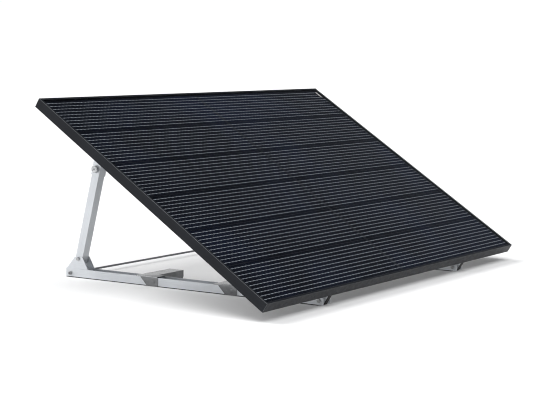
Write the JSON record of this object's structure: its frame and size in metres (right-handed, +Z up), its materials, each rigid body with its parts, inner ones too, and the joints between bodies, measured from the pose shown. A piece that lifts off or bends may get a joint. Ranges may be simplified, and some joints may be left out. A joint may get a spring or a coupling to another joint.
{
  "type": "solar panel on a ground stand",
  "caption": "Rigid framed black solar module on a low tilted aluminium ground stand with telescopic rear struts and ballast shelves.",
  "frame": {"origin": "middle of the footprint on the ground, at Z = 0", "axes": "+X along the module's long side, -Y towards its low edge, +Z up"},
  "size_m": [1.722, 1.1798, 0.6802],
  "materials": {
    "black_anodised": "satin black anodised",
    "mill_aluminium": "satin mill finish",
    "cover_glass": "smooth, faintly textured solar glass",
    "silicon": "dark blue-black wafer",
    "tinned_copper": "bright tinned",
    "black_ribbon": "black coated",
    "encapsulant": "clear film",
    "backsheet_film": "black film",
    "silicone_seal": "matte black",
    "black_plastic": "fine grained black",
    "brass_terminal": "plain",
    "white_label": "plain white, blank",
    "galvanised_steel": "galvanised",
    "stainless_steel": "satin stainless",
    "dark_steel": "dark threaded rod",
    "ground_rubber": "matte",
    "nylon": "matte",
    "knob_aluminium": "turned, satin"
  },
  "bodies": {
    "stand": {"base_rail_left": "mill_aluminium", "base_rail_right": "mill_aluminium", "rail_pad_left": "ground_rubber", "rail_pad_right": "ground_rubber", "foot_bracket_left": "mill_aluminium", "foot_bracket_right": "mill_aluminium", "foot_rivets": "mill_aluminium", "rear_tie_rod": "dark_steel", "tie_rod_nuts": "stainless_steel", "ballast_bracket_left_front": "galvanised_steel", "ballast_bracket_left_rear": "galvanised_steel", "ballast_bracket_right_front": "galvanised_steel", "ballast_bracket_right_rear": "galvanised_steel", "ballast_bracket_bolts": "galvanised_steel", "hinge_bolts": "stainless_steel", "hinge_spacers": "nylon", "strut_foot_bolts": "stainless_steel"},
    "panel": {"frame_lower": "black_anodised", "frame_upper": "black_anodised", "frame_left": "black_anodised", "frame_right": "black_anodised", "corner_keys": "mill_aluminium", "backsheet": "backsheet_film", "rear_encapsulant": "encapsulant", "front_encapsulant": "encapsulant", "front_glass": "cover_glass", "solar_cells": "silicon", "cell_ribbons": "tinned_copper", "string_busbars": "black_ribbon", "frame_sealant": "silicone_seal", "plain_label": "white_label", "junction_box_lower": "black_plastic", "junction_lid_lower": "black_plastic", "junction_box_middle": "black_plastic", "junction_lid_middle": "black_plastic", "junction_box_upper": "black_plastic", "junction_lid_upper": "black_plastic", "cable_gland_lower": "black_plastic", "cable_gland_upper": "black_plastic", "junction_terminals": "brass_terminal", "bypass_diodes": "black_plastic", "upper_rail_left": "mill_aluminium", "upper_rail_right": "mill_aluminium", "upper_rail_plugs": "black_plastic", "frame_bolts": "stainless_steel", "rivet_nuts": "mill_aluminium"},
    "lower_strut_left": {"strut_tube_left": "mill_aluminium"},
    "upper_strut_left": {"strut_sleeve_left": "mill_aluminium", "strut_top_bolt_left": "stainless_steel", "strut_top_spacers_left": "nylon", "clamp_boss_left": "stainless_steel"},
    "knob_left": {"clamp_knob_left": "knob_aluminium"},
    "lower_strut_right": {"strut_tube_right": "mill_aluminium"},
    "upper_strut_right": {"strut_sleeve_right": "mill_aluminium", "strut_top_bolt_right": "stainless_steel", "strut_top_spacers_right": "nylon", "clamp_boss_right": "stainless_steel"},
    "knob_right": {"clamp_knob_right": "knob_aluminium"}
  },
  "joints": [
    {"name": "panel_tilt", "type": "hinge", "parent": "stand", "child": "panel", "pos_m": [0, -0.54056, 0.0177], "axis": [1, 0, 0], "range_deg": [-6, 4]},
    {"name": "strut_foot_left", "type": "hinge", "parent": "stand", "child": "lower_strut_left", "pos_m": [-0.47, 0.53095, 0.071], "axis": [1, 0, 0], "range_deg": [-3.7, 2.5]},
    {"name": "strut_slide_left", "type": "slide", "parent": "lower_strut_left", "child": "upper_strut_left", "axis": [0, -0.2639, 0.9646], "range_m": [-0.1105, 0.0738]},
    {"name": "clamp_knob_turn_left", "type": "hinge", "parent": "upper_strut_left", "child": "knob_left", "pos_m": [-0.4886, 0.43806, 0.41052], "axis": [-1, 0, 0], "range_deg": [0, 360]},
    {"name": "strut_foot_right", "type": "hinge", "parent": "stand", "child": "lower_strut_right", "pos_m": [0.47, 0.53095, 0.071], "axis": [1, 0, 0], "range_deg": [-3.7, 2.5]},
    {"name": "strut_slide_right", "type": "slide", "parent": "lower_strut_right", "child": "upper_strut_right", "axis": [0, -0.2639, 0.9646], "range_m": [-0.1105, 0.0738]},
    {"name": "clamp_knob_turn_right", "type": "hinge", "parent": "upper_strut_right", "child": "knob_right", "pos_m": [0.4886, 0.43806, 0.41052], "axis": [1, 0, 0], "range_deg": [0, 360]}
  ],
  "couplings": [
    {"joint": "strut_foot_left", "follows": "panel_tilt", "ratio": 0.6049},
    {"joint": "strut_slide_left", "follows": "panel_tilt", "m_per_rad": 1.0503},
    {"joint": "strut_foot_right", "follows": "panel_tilt", "ratio": 0.6049},
    {"joint": "strut_slide_right", "follows": "panel_tilt", "m_per_rad": 1.0503}
  ]
}
